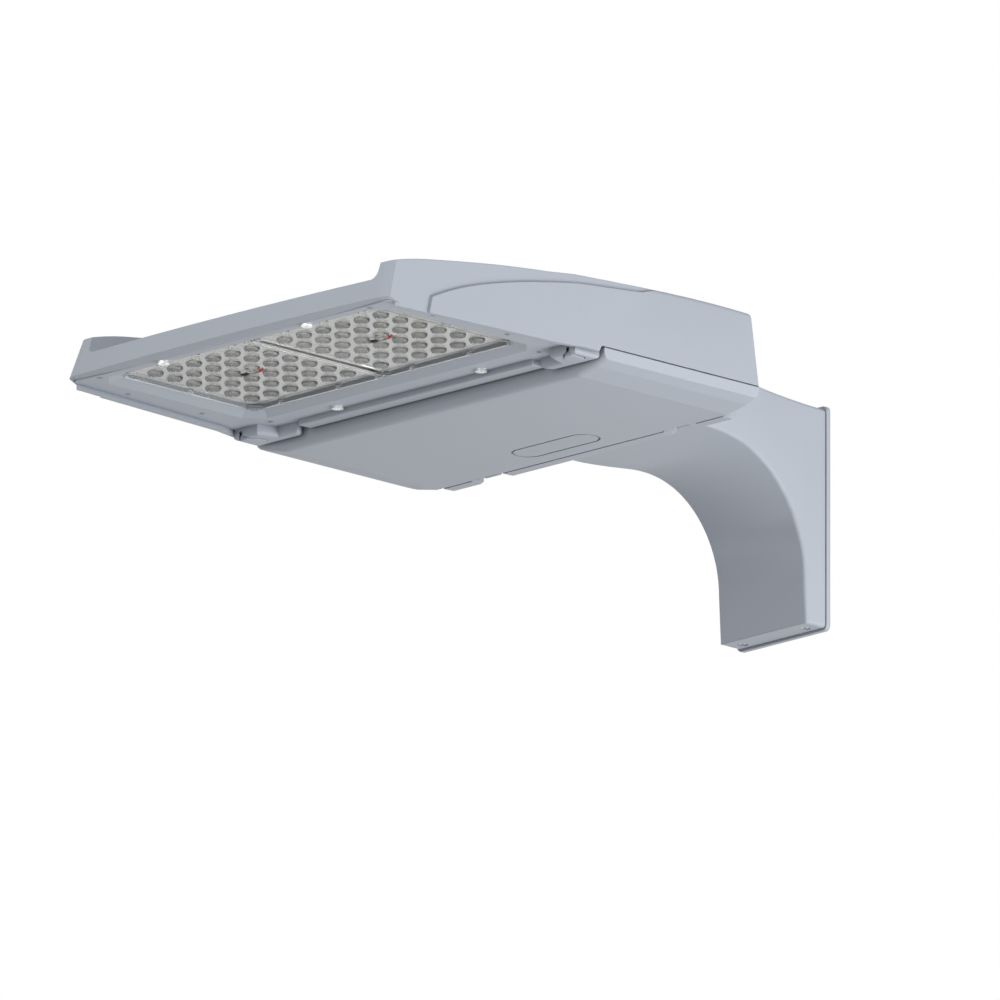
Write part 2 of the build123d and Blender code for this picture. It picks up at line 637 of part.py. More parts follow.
# Optics
for side, hand in ((-1, "left"), (1, "right")):
    plate_x = side * (plate_inner_x + lens_plate_x / 2)
    plate_bottom = collar_top_z + lens_gasket_thickness
    window_mid_y = (window_front_y + window_rear_y) / 2
    with BuildPart() as lens_plate:
        with BuildSketch(Plane.XY.offset(plate_bottom)):
            with Locations((plate_x, window_mid_y)):
                RectangleRounded(lens_plate_x, lens_plate_y, 3.0)
        extrude(amount=lens_plate_thickness)
        with BuildSketch(Plane.XY.offset(plate_bottom + lens_plate_thickness)):
            with Locations((side * module_x, module_y)):
                Rectangle(board_field, board_field_y)
        extrude(amount=-chip_cavity, mode=Mode.SUBTRACT)
        # Raised rim round the lens field
        with BuildSketch(Plane.XY.offset(plate_bottom)):
            with Locations((side * module_x, module_y)):
                Rectangle(lens_rim, lens_rim_y)
                Rectangle(lens_rim - 2 * lens_rim_width, lens_rim_y - 2 * lens_rim_width,
                          mode=Mode.SUBTRACT)
        extrude(amount=-lens_rim_height)
        with Locations((side * module_x, module_y, plate_bottom)):
            with GridLocations(lens_pitch, lens_pitch_y, lens_columns, lens_columns):
                Cone(lens_diameter / 2, lens_tip_radius, lens_height, rotation=(180, 0, 0),
                     align=(Align.CENTER, Align.CENTER, Align.MIN))
        with BuildSketch(Plane.XY.offset(plate_bottom)):
            with Locations((side * module_x, module_y)):
                SlotOverall(lead_slot_x, lead_slot_y)
        extrude(amount=lens_plate_thickness, mode=Mode.SUBTRACT)
    finish(lens_plate, "lens_plate_" + hand)

    with BuildPart() as led_board:
        with BuildSketch(Plane.XY.offset(plate_bottom + lens_plate_thickness)):
            with Locations((plate_x, window_mid_y)):
                Rectangle(lens_plate_x - 2.0, lens_plate_y - 2.0)
        extrude(amount=board_thickness)
    finish(led_board, "led_board_" + hand)

    with BuildPart() as led_chips:
        with Locations((side * module_x, module_y, plate_bottom + lens_plate_thickness)):
            with GridLocations(lens_pitch, lens_pitch_y, lens_columns, lens_columns):
                Box(chip_size, chip_size, chip_height, align=(Align.CENTER, Align.CENTER, Align.MAX))
    finish(led_chips, "led_chips_" + hand)

# One gasket between the collar and both lens plates
with BuildPart() as lens_gasket:
    extrude(window_sketch(collar_top_z, collar_wall - 0.2, window_corner), amount=lens_gasket_thickness)
    extrude(window_sketch(collar_top_z, 0.2, window_corner), amount=lens_gasket_thickness, mode=Mode.SUBTRACT)
finish(lens_gasket, "lens_gasket")

# Lead connectors on the boards, with a red and a black lead at each
board_face_z = collar_top_z + lens_gasket_thickness + lens_plate_thickness
with BuildPart() as lead_connectors:
    for side in (-1, 1):
        with Locations((side * module_x, module_y, board_face_z)):
            Box(connector_x, connector_y, connector_height, align=(Align.CENTER, Align.CENTER, Align.MAX))
finish(lead_connectors, "lead_connectors")

for lead, (colour, lead_y) in enumerate((("red", 1.2), ("black", -1.2))):
    with BuildPart() as leads:
        for side in (-1, 1):
            with BuildSketch(Plane.YZ.offset(side * module_x + connector_x / 2)):
                with Locations((module_y + lead_y, board_face_z - connector_height / 2)):
                    Circle(lead_diameter / 2)
            extrude(amount=lead_length)
    finish(leads, colour + "_leads")


def screws(name, plane, places, head_radius, head_height, shank_radius, length, drive):
    """Pan-head screws driven along a plane's normal, with a drive recess in each head."""
    with BuildPart() as group:
        with BuildSketch(plane) as heads:
            with Locations(*places):
                Circle(head_radius)
        extrude(heads.sketch, amount=-head_height)
        fillet(group.faces().sort_by(Axis(plane.origin, plane.z_dir))[0].edges(), head_height * 0.45)
        with BuildSketch(plane) as shanks:
            with Locations(*places):
                Circle(shank_radius)
        extrude(shanks.sketch, amount=length)
        with BuildSketch(plane.offset(-head_height)) as drives:
            with Locations(*places):
                RegularPolygon(drive, 6)
        extrude(drives.sketch, amount=head_height * 0.6, mode=Mode.SUBTRACT)
    finish(group, name)


screws("frame_screws", Plane.XY.offset(frame_z), frame_screw_places, frame_screw_radius,
       frame_screw_head, frame_screw_shank, frame_screw_length, 0.9)
screws("frame_button_screws", Plane.XY.offset(frame_z), button_places, button_radius,
       button_height, button_shank, button_length, 2.0)


def arm_side(wall, head_y, foot_y):
    """Side view of the arm, or of its hollow where wall is above zero."""
    with BuildSketch(Plane.YZ.offset(-BIG)) as side:
        with BuildLine():
            under = Line((head_y, arm_under_z + wall), (arm_curve_y, arm_under_z + wall))
            bend = EllipticalCenterArc((arm_curve_y, arm_leg_z), arm_leg_y + wall - arm_curve_y,
                                       arm_under_z + wall - arm_leg_z, start_angle=0, arc_size=90)
            Polyline(bend @ 0, (arm_foot_y + wall, arm_foot_z + wall), (foot_y, arm_foot_z + wall),
                     (foot_y, arm_top_rear_z - wall), (head_y, arm_top_head_z - wall), under @ 0)
        make_face()
    return side.sketch


def arm_plan(wall, head_y, foot_y):
    """Plan of the arm, or of its hollow where wall is above zero."""
    with BuildSketch(Plane.XY.offset(arm_foot_z - 10.0)) as plan:
        with BuildLine():
            flank = Spline((arm_half_head - wall, arm_flank_y), (arm_half_mid - wall, arm_mid_y),
                           (arm_half_pole - wall, arm_leg_y), tangents=[(-0.1, 1.0), (-0.05, 1.0)])
            Polyline(flank @ 1, (arm_half_pole - wall, foot_y), (0, foot_y))
            Polyline((0, head_y), (arm_half_head - wall, head_y), flank @ 0)
            mirror(about=Plane.YZ)
        make_face()
    return plan.sketch


# Mounting arm
arm_head_y = rear_y + arm_gasket_thickness
arm_rear_y = plate_face_y + arm_plate_gap
with BuildPart() as arm_hollow:
    extrude(arm_side(arm_wall, arm_head_y + arm_end_wall, BIG / 4), amount=2 * BIG)
    extrude(arm_plan(arm_wall, arm_head_y + arm_end_wall, BIG / 4), amount=BIG, mode=Mode.INTERSECT)

arm_end_plane = Plane(origin=(0, arm_head_y, 0), x_dir=(1, 0, 0), z_dir=(0, -1, 0))
foot_plane = Plane(origin=(0, 0, arm_foot_z), x_dir=(1, 0, 0), z_dir=(0, 0, -1))
set_screw_places = [(side * set_screw_x, -set_screw_y) for side in (-1, 1)]
with BuildPart() as mounting_arm:
    extrude(arm_side(0, arm_head_y, arm_rear_y), amount=2 * BIG)
    extrude(arm_plan(0, arm_head_y, arm_rear_y), amount=BIG, mode=Mode.INTERSECT)
    long_edges = [edge for edge in mounting_arm.edges()
                  if abs(edge.position_at(0.5).X) > arm_half_pole - 1.0
                  and arm_head_y + 1.0 < edge.position_at(0.5).Y < arm_rear_y - 1.0]
    fillet(long_edges, arm_edge_radius)
    add(arm_hollow.part, mode=Mode.SUBTRACT)
    holes(arm_end_plane, [(x, z) for x, z in arm_bolt_places], arm_bolt_radius, arm_end_wall)
    holes(arm_end_plane, [(0, wireway_z)], wireway_radius, arm_end_wall)
    holes(foot_plane, set_screw_places, set_screw_radius, arm_wall)
    holes(foot_plane, set_screw_places, set_screw_head_radius + 0.5, set_screw_sink)
finish(mounting_arm, "mounting_arm")

# Gasket between the head and the arm
with BuildPart() as arm_gasket:
    with BuildSketch(rear_plane):
        with Locations((0, (arm_under_z + arm_top_head_z) / 2)):
            RectangleRounded(2 * arm_half_head - 6.0, arm_top_head_z - arm_under_z - 6.0, 4.0)
        with Locations(*arm_bolt_places):
            Circle(arm_bolt_radius + 0.3, mode=Mode.SUBTRACT)
        with Locations((0, wireway_z)):
            Circle(wireway_radius + 0.3, mode=Mode.SUBTRACT)
    extrude(amount=arm_gasket_thickness)
finish(arm_gasket, "arm_gasket")

# Bolts from inside the head into the arm, with a nut behind each
with BuildPart() as arm_bolts:
    inner_plane = Plane(origin=(0, rear_y - rear_wall, 0), x_dir=(-1, 0, 0), z_dir=(0, 1, 0))
    with BuildSketch(inner_plane) as heads:
        with Locations(*arm_bolt_places):
            RegularPolygon(arm_bolt_head_radius, 6)
    extrude(heads.sketch, amount=-arm_bolt_head_height)
    with BuildSketch(inner_plane) as shanks:
        with Locations(*arm_bolt_places):
            Circle(arm_bolt_radius - 0.2)
    extrude(shanks.sketch, amount=rear_wall + arm_gasket_thickness + arm_end_wall + 12.0)
finish(arm_bolts, "arm_bolts")

with BuildPart() as arm_nuts:
    nut_plane = Plane(origin=(0, arm_head_y + arm_end_wall, 0), x_dir=(-1, 0, 0), z_dir=(0, 1, 0))
    with BuildSketch(nut_plane):
        with Locations(*arm_bolt_places):
            RegularPolygon(arm_bolt_head_radius, 6)
            Circle(arm_bolt_radius - 0.2, mode=Mode.SUBTRACT)
    extrude(amount=arm_bolt_head_height)
finish(arm_nuts, "arm_nuts")

# Rubber bush in the wire hole
with BuildPart() as wire_bush:
    with BuildSketch(Plane(origin=(0, rear_y - rear_wall - 2.0, 0), x_dir=(-1, 0, 0), z_dir=(0, 1, 0))) as collar:
        with Locations((0, wireway_z)):
            Circle(wireway_radius + 2.5)
            Circle(wireway_radius - 3.0, mode=Mode.SUBTRACT)
    extrude(collar.sketch, amount=2.0)
    with BuildSketch(Plane(origin=(0, rear_y - rear_wall - 2.0, 0), x_dir=(-1, 0, 0), z_dir=(0, 1, 0))) as sleeve:
        with Locations((0, wireway_z)):
            Circle(wireway_radius)
            Circle(wireway_radius - 3.0, mode=Mode.SUBTRACT)
    extrude(sleeve.sketch, amount=rear_wall + 4.0)
finish(wire_bush, "wire_bush")

# Pole plate with its hook and its threaded shelf
face_plane = Plane(origin=(0, plate_face_y, 0), x_dir=(1, 0, 0), z_dir=(0, -1, 0))
shelf_z = arm_foot_z + arm_wall
hook_half = arm_half_pole - arm_wall - 1.0
with BuildPart() as pole_plate:
    with BuildSketch(Plane(origin=(0, 0, 0), x_dir=(1, 0, 0), z_dir=(0, -1, 0))):
        with Locations((0, (plate_top_z + plate_bottom_z) / 2)):
            RectangleRounded(2 * plate_half_width, plate_top_z - plate_bottom_z, plate_corner_radius)
    extrude(amount=plate_thickness)
    with BuildSketch(face_plane):
        with Locations((0, shelf_z + shelf_thickness / 2)):
            Rectangle(2 * hook_half, shelf_thickness)
    extrude(amount=shelf_reach)
    with BuildSketch(Plane.YZ.offset(-hook_half)):
        with BuildLine():
            hook_z = arm_top_rear_z - arm_wall - 0.3
            Polyline((plate_face_y, hook_z - 9.0), (plate_face_y, hook_z), (plate_face_y - hook_reach, hook_z),
                     (plate_face_y - hook_reach, hook_z - hook_thickness), close=True)
        make_face()
    extrude(amount=2 * hook_half)
    holes(face_plane, [(0, -pole_bolt_spacing / 2), (0, pole_bolt_spacing / 2)],
          pole_bolt_hole_radius, plate_thickness)
    holes(face_plane, [(0, 0)], plate_wireway_radius, plate_thickness)
    holes(Plane.XY.offset(shelf_z + shelf_thickness), [(side * set_screw_x, set_screw_y) for side in (-1, 1)],
          set_screw_radius, shelf_thickness)
finish(pole_plate, "pole_plate")

screws("arm_set_screws", Plane.XY.offset(arm_foot_z + set_screw_sink),
       [(side * set_screw_x, set_screw_y) for side in (-1, 1)], set_screw_head_radius,
       set_screw_sink - 0.4, set_screw_radius, arm_wall - set_screw_sink + shelf_thickness, 1.5)

# Gear in the driver bay, fixed to the bay's roof
with BuildPart() as led_driver:
    with BuildSketch(Plane.XY.offset(bay_top_z - driver_height)):
        with Locations((0, driver_y)):
            RectangleRounded(driver_length, driver_width, 4.0)
    extrude(amount=driver_height)
    with BuildSketch(Plane.XY.offset(bay_top_z - driver_foot_thickness)):
        with Locations((0, driver_y)):
            Rectangle(driver_length + 2 * driver_foot, driver_width * 0.5)
            with GridLocations(driver_length + driver_foot, 0, 2, 1):
                Circle(2.2, mode=Mode.SUBTRACT)
    extrude(amount=driver_foot_thickness)
finish(led_driver, "led_driver")

driver_screw_places = [(side * (driver_length + driver_foot) / 2, driver_y) for side in (-1, 1)]
screws("driver_screws", Plane.XY.offset(bay_top_z - driver_foot_thickness), driver_screw_places,
       4.0, 2.4, 2.0, driver_foot_thickness, 1.6)

with BuildPart() as surge_protector:
    with BuildSketch(Plane.XY.offset(bay_top_z - surge_height)):
        with Locations((surge_x, surge_y)):
            Circle(surge_radius)
    extrude(amount=surge_height)
    fillet(surge_protector.faces().sort_by(Axis.Z)[0].edges(), 3.0)
finish(surge_protector, "surge_protector")

with BuildPart() as terminal_block:
    with BuildSketch(Plane.XY.offset(bay_top_z - terminal_height)):
        with Locations((terminal_x, terminal_y)):
            Rectangle(terminal_length, terminal_width)
    extrude(amount=terminal_height)
    with BuildSketch(Plane.XY.offset(bay_top_z - terminal_height)):
        with Locations((terminal_x, terminal_y)):
            with GridLocations(terminal_length / 4, 9.0, 4, 2):
                Circle(2.6)
    extrude(amount=4.0, mode=Mode.SUBTRACT)
finish(terminal_block, "terminal_block")
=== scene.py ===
from math import cos, radians, sin

import bpy
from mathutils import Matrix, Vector


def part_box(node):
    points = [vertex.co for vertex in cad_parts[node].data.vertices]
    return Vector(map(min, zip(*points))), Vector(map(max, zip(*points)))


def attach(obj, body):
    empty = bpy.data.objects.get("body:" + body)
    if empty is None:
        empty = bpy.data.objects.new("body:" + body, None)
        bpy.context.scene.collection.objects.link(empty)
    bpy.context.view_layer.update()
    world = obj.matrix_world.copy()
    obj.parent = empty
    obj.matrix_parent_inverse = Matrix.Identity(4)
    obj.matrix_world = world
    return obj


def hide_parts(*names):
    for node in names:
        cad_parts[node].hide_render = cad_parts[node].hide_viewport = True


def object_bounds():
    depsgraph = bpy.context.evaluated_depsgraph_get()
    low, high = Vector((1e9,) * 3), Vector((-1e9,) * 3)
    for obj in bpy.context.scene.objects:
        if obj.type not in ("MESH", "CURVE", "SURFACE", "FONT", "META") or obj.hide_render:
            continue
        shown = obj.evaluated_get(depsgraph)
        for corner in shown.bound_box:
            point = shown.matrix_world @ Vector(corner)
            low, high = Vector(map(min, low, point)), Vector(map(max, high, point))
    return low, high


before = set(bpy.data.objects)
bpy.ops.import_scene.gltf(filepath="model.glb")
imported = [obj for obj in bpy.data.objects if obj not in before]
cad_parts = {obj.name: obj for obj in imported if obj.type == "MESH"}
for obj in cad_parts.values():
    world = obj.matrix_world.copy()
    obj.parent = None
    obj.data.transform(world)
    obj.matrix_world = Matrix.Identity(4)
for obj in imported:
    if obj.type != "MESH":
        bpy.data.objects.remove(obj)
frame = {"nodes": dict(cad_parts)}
cad_low, cad_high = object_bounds()

bl_info = {
    "name": "Area Luminaire",
    "version": (1, 0, 0),
    "blender": (4, 5, 0),
    "location": "View3D > Sidebar > Luminaire",
    "description": "Dresses an area luminaire head and its pole arm",
    "category": "Object",
}

# The two sides of the head and their sign along the width
HANDS = {"left": -1.0, "right": 1.0}

# Places of the screw bosses across the lens rims, on the nose side and on the door side
FRONT_BOSSES = (-0.096, -0.060, -0.021, 0.035, 0.076, 0.117)
REAR_BOSSES = (-0.107, -0.046, 0.032, 0.093)

# Scale of the photograph, the pixel that the origin falls on, and the direction of view
PHOTO_PIXELS = 1000.0
PIXELS_PER_METRE = 1333.0
ORIGIN_PIXEL = (785.7, 531.0)
PHOTO_AZIMUTH = radians(45.0)
PHOTO_ELEVATION = radians(-15.0)
CAMERA_DISTANCE = 1.4

# Area lamps as name, place, side and power, all aimed at the middle of the head
LAMP_AIM = (0.0, -0.35, 0.04)
LAMPS = (
    ("key_lamp", (2.4, -0.7, 0.5), 1.4, 11.6),
    ("front_lamp", (0.3, -2.2, 0.3), 1.2, 13.3),
    ("side_lamp", (1.6, 0.3, -0.9), 1.0, 21.8),
)
SOFT_LIGHT = 0.22
FLOOR_SIDE = 16.0
WHITE = (1.0, 1.0, 1.0, 1.0)

# Castings as CAD node, body and the angle in degrees past which an edge is shaded sharp
CASTINGS = (
    ("upper_housing", "head", 14.0),
    ("led_frame", "head", 14.0),
    ("driver_door", "door", 7.0),
    ("mounting_arm", "head", 20.0),
    ("pole_plate", "head", 20.0),
    ("latch_left", "latch_left", 14.0),
    ("latch_right", "latch_right", 14.0),
)

# How far the slab reaches into its flange, and the rim, bosses and domes into the slab
SLAB_ROOT = 0.0005
RIM_ROOT = 0.0003
BOSS_ROOT = 0.0004
DOME_ROOT = 0.0004

# Thickness of the rim's floor, which stays inside the slab
RIM_FLOOR = 0.0002

# Corners of the lens plate's flange, and the bosses with their screw dimple
FLANGE_CORNER = 0.0025
BOSS_INSET = 0.003
BOSS_STANDOUT = 0.0003
DIMPLE_MARGIN = 0.4
DIMPLE_DEPTH = 0.0018

# The valley between a dome's two lobes, with its heights as shares of the dome
VALLEY_HALF = 0.0008
VALLEY_REACH = 0.0026
VALLEY_FROM = 0.6
VALLEY_LIFT = 0.30

# The slot for the leads, as half sizes and a corner radius
SLOT_HALF = (0.0155, 0.0037, 0.006)
SLOT_CORNER = 0.0036

# The loops of the leads in the slot
LEAD_START = 0.0005
LEAD_END = 0.0125
LEAD_BEND = 0.0006
LEAD_DROP = 0.0008
LEAD_RISE = 0.0040
LEAD_RADIUS = 0.0011

# Grain of the moulded and turned finishes, with its shades as shares of the colour
GRAIN_SCALE = 300.0
GRAIN_DEPTH = 0.15
GRAIN_DARK = 0.9
GRAIN_LIGHT = 1.08

# Distances below which vertices are merged, in new pieces and in copies of CAD nodes
WELD = 0.000002
SKIN_WELD = 0.000005

# Angle in degrees past which an edge of the lens plates is shaded sharp
LENS_FOLD = 35.0


class LuminaireSizes(bpy.types.PropertyGroup):
    """Sizes of the pieces that are modelled here, in metres."""

    lens_pitch: bpy.props.FloatProperty(
        name="Lens Pitch", description="Distance from one lens to the next",
        default=0.0204, unit="LENGTH")
    lens_columns: bpy.props.IntProperty(
        name="Lens Columns", description="Lenses along each side of a module", default=6, min=1)
    lens_width: bpy.props.FloatProperty(
        name="Lens Width", description="Width of one lens", default=0.0125, unit="LENGTH")
    plate_bottom_z: bpy.props.FloatProperty(
        name="Plate Height", description="Height of the lens plates' lower face",
        default=0.0415, unit="LENGTH")
    dome_tip_z: bpy.props.FloatProperty(
        name="Dome Tips", description="Height of the lowest points of the optics",
        default=0.0372, unit="LENGTH")
    rim_half_x: bpy.props.FloatProperty(
        name="Rim Half Width", description="Outer side of the rim from the centre line",
        default=0.1388, unit="LENGTH")
    rim_front_y: bpy.props.FloatProperty(
        name="Rim Front", description="Nose side of the rim", default=-0.5688, unit="LENGTH")
    rim_rear_y: bpy.props.FloatProperty(
        name="Rim Rear", description="Door side of the rim", default=-0.4246, unit="LENGTH")
    rim_width: bpy.props.FloatProperty(
        name="Rim Width", description="Width of the rim", default=0.0024, unit="LENGTH")
    rim_bottom_z: bpy.props.FloatProperty(
        name="Rim Bottom", description="Height of the rim's lower face",
        default=0.0388, unit="LENGTH")
    divider_half: bpy.props.FloatProperty(
        name="Divider Half", description="Inner side of the rims from the centre line",
        default=0.0008, unit="LENGTH")
    flange_z: bpy.props.FloatProperty(
        name="Flange Height", description="Lower face of the flange on the gasket",
        default=0.045, unit="LENGTH")
    boss_radius: bpy.props.FloatProperty(
        name="Boss Radius", description="Radius of the bosses on the rim",
        default=0.0032, unit="LENGTH")
    module_x: bpy.props.FloatProperty(
        name="Module Offset", description="Distance of a module's middle from the centre line",
        default=0.0685, unit="LENGTH")
    module_y: bpy.props.FloatProperty(
        name="Module Middle", description="Place of the modules along the head",
        default=-0.498, unit="LENGTH")
    floor_drop: bpy.props.FloatProperty(
        name="Floor Drop", description="Depth of the floor below the pole plate",
        default=1.9, unit="LENGTH")


class LuminaireColours(bpy.types.PropertyGroup):
    """Colours of the finishes."""

    paint: bpy.props.FloatVectorProperty(
        name="Paint", description="Silver grey powder coat", subtype="COLOR",
        default=(0.545, 0.590, 0.660), min=0.0, max=1.0)
    board: bpy.props.FloatVectorProperty(
        name="Board", description="Solder mask of the LED boards", subtype="COLOR",
        default=(0.88, 0.88, 0.86), min=0.0, max=1.0)
    rubber: bpy.props.FloatVectorProperty(
        name="Rubber", description="Seals", subtype="COLOR",
        default=(0.045, 0.046, 0.050), min=0.0, max=1.0)
    floor: bpy.props.FloatVectorProperty(
        name="Floor", description="Floor below the pole", subtype="COLOR",
        default=(0.86, 0.86, 0.86), min=0.0, max=1.0)


def sizes():
    """The size settings of the scene."""
    return bpy.context.scene.luminaire_sizes


def colours():
    """The colour settings of the scene."""
    return bpy.context.scene.luminaire_colours


def pick(obj):
    """Make one object the only selected one and the active one."""
    bpy.ops.object.select_all(action="DESELECT")
    obj.select_set(True)
    bpy.context.view_layer.objects.active = obj


def select_faces(obj, test):
    """Select the faces of a mesh whose middle and normal pass a test, and go to edit mode."""
    pick(obj)
    bpy.ops.object.mode_set(mode="EDIT")
    bpy.ops.mesh.select_mode(type="FACE")
    bpy.ops.mesh.select_all(action="DESELECT")
    bpy.ops.object.mode_set(mode="OBJECT")
    for face in obj.data.polygons:
        face.select = test(face.center, face.normal)
    bpy.ops.object.mode_set(mode="EDIT")


def leave_edit():
    """Go back to object mode."""
    bpy.ops.object.mode_set(mode="OBJECT")


def apply_modifiers(obj):
    """Apply each modifier of an object in turn."""
    pick(obj)
    for modifier in list(obj.modifiers):
        bpy.ops.object.modifier_apply(modifier=modifier.name)


def settle(obj):
    """Put an object's place, turn and scale into its mesh."""
    pick(obj)
    bpy.ops.object.transform_apply(location=True, rotation=True, scale=True)


def join(objects, name):
    """Join objects into the first one."""
    bpy.ops.object.select_all(action="DESELECT")
    for obj in objects:
        obj.select_set(True)
    bpy.context.view_layer.objects.active = objects[0]
    if len(objects) > 1:
        bpy.ops.object.join()
    objects[0].name = name
    objects[0].data.name = name
    return objects[0]


def copy_to(obj, place):
    """A copy of an object with its own mesh, moved by a vector."""
    twin = obj.copy()
    twin.data = obj.data.copy()
    twin.location = obj.location + Vector(place)
    bpy.context.scene.collection.objects.link(twin)
    return twin


def dress(obj, material):
    """Give an object one material."""
    obj.data.materials.clear()
    obj.data.materials.append(material)


def smooth(obj, angle=30.0):
    """Shade an object smooth up to an angle."""
    pick(obj)
    bpy.ops.object.shade_smooth_by_angle(angle=radians(angle))


def pick_vertices(obj, test):
    """Select the vertices of a mesh that pass a test, and go to edit mode."""
    pick(obj)
    bpy.ops.object.mode_set(mode="EDIT")
    bpy.ops.mesh.select_mode(type="VERT")
    bpy.ops.mesh.select_all(action="DESELECT")
    bpy.ops.object.mode_set(mode="OBJECT")
    for vertex in obj.data.vertices:
        vertex.select = test(vertex.co)
    bpy.ops.object.mode_set(mode="EDIT")


def faces_down(centre, normal):
    """Whether a face looks down."""
    return normal.z < -0.9


def upright(start, end):
    """Whether an edge stands upright."""
    return abs(start.x - end.x) + abs(start.y - end.y) < 0.0001


def block(low, high):
    """A box between two corners, with its place in its mesh."""
    low, high = Vector(low), Vector(high)
    bpy.ops.mesh.primitive_cube_add(size=1.0, location=(low + high) / 2)
    body = bpy.context.object
    body.scale = high - low
    settle(body)
    return body


def bevel_edges(obj, width, segments, test):
    """Bevel the edges whose two ends pass a test."""
    pick(obj)
    bpy.ops.object.mode_set(mode="EDIT")
    bpy.ops.mesh.select_mode(type="EDGE")
    bpy.ops.mesh.select_all(action="DESELECT")
    bpy.ops.object.mode_set(mode="OBJECT")
    points = obj.data.vertices
    for edge in obj.data.edges:
        edge.select = test(points[edge.vertices[0]].co, points[edge.vertices[1]].co)
    bpy.ops.object.mode_set(mode="EDIT")
    bpy.ops.mesh.bevel(offset=width, segments=segments)
    leave_edit()


def recalculate(obj):
    """Merge doubles and point the faces outward."""
    pick(obj)
    bpy.ops.object.mode_set(mode="EDIT")
    bpy.ops.mesh.select_all(action="SELECT")
    bpy.ops.mesh.remove_doubles(threshold=WELD)
    bpy.ops.mesh.normals_make_consistent(inside=False)
    leave_edit()


def combine(body, part, operation):
    """Add a part to a body, or cut it out of the body, and drop the part."""
    modifier = body.modifiers.new("combine", "BOOLEAN")
    modifier.operation = operation
    modifier.object = part
    modifier.solver = "MANIFOLD"
    apply_modifiers(body)
    bpy.data.objects.remove(part, do_unlink=True)


def spread(first, places, name):
    """One joined object of copies of a first one, which is used up, at places."""
    copies = [copy_to(first, place) for place in places]
    bpy.data.objects.remove(first, do_unlink=True)
    joined = join(copies, name)
    settle(joined)
    return joined


def lens_places(side):
    """Plan places of one module's lenses."""
    size = sizes()
    steps = [size.lens_pitch * (k - (size.lens_columns - 1) / 2) for k in range(size.lens_columns)]
    return [(side * size.module_x + dx, size.module_y + dy) for dx in steps for dy in steps]


def skin_of(node, body, fold, material):
    """A merged, smoothly shaded copy of a CAD node that stands for it."""
    source = frame["nodes"][node]
    skin = source.copy()
    skin.data = source.data.copy()
    skin.parent = None
    skin.name = node + "_skin"
    for key in list(skin.keys()):
        del skin[key]
    bpy.context.scene.collection.objects.link(skin)
    pick(skin)
    if skin.data.has_custom_normals:
        bpy.ops.mesh.customdata_custom_splitnormals_clear()
    bpy.ops.object.mode_set(mode="EDIT")
    bpy.ops.mesh.select_all(action="SELECT")
    bpy.ops.mesh.remove_doubles(threshold=SKIN_WELD)
    leave_edit()
    smooth(skin, fold)
    dress(skin, material)
    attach(skin, body)
    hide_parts(node)


def new_material(name):
    """An empty material with a Principled shader, and its nodes and links."""
    material = bpy.data.materials.new(name)
    material.use_nodes = True
    nodes = material.node_tree.nodes
    return material, nodes, material.node_tree.links, nodes["Principled BSDF"]


def add_group(nodes, group, **values):
    """Place a node group and set its inputs."""
    node = nodes.new("ShaderNodeGroup")
    node.node_tree = group
    for key, value in values.items():
        node.inputs[key.replace("_", " ").title()].default_value = value
    return node


def object_coordinates(nodes, links, socket):
    """Feed Object coordinates to a socket."""
    coordinates = nodes.new("ShaderNodeTexCoord")
    links.new(coordinates.outputs["Object"], socket)


def seen_directly(nodes, links):
    """A mask of camera, glossy and transmission rays."""
    path = nodes.new("ShaderNodeLightPath")
    through = nodes.new("ShaderNodeMath")
    through.operation = "MAXIMUM"
    links.new(path.outputs["Is Camera Ray"], through.inputs[0])
    links.new(path.outputs["Is Transmission Ray"], through.inputs[1])
    mask = nodes.new("ShaderNodeMath")
    mask.operation = "MAXIMUM"
    links.new(through.outputs["Value"], mask.inputs[0])
    links.new(path.outputs["Is Glossy Ray"], mask.inputs[1])
    return mask.outputs["Value"]


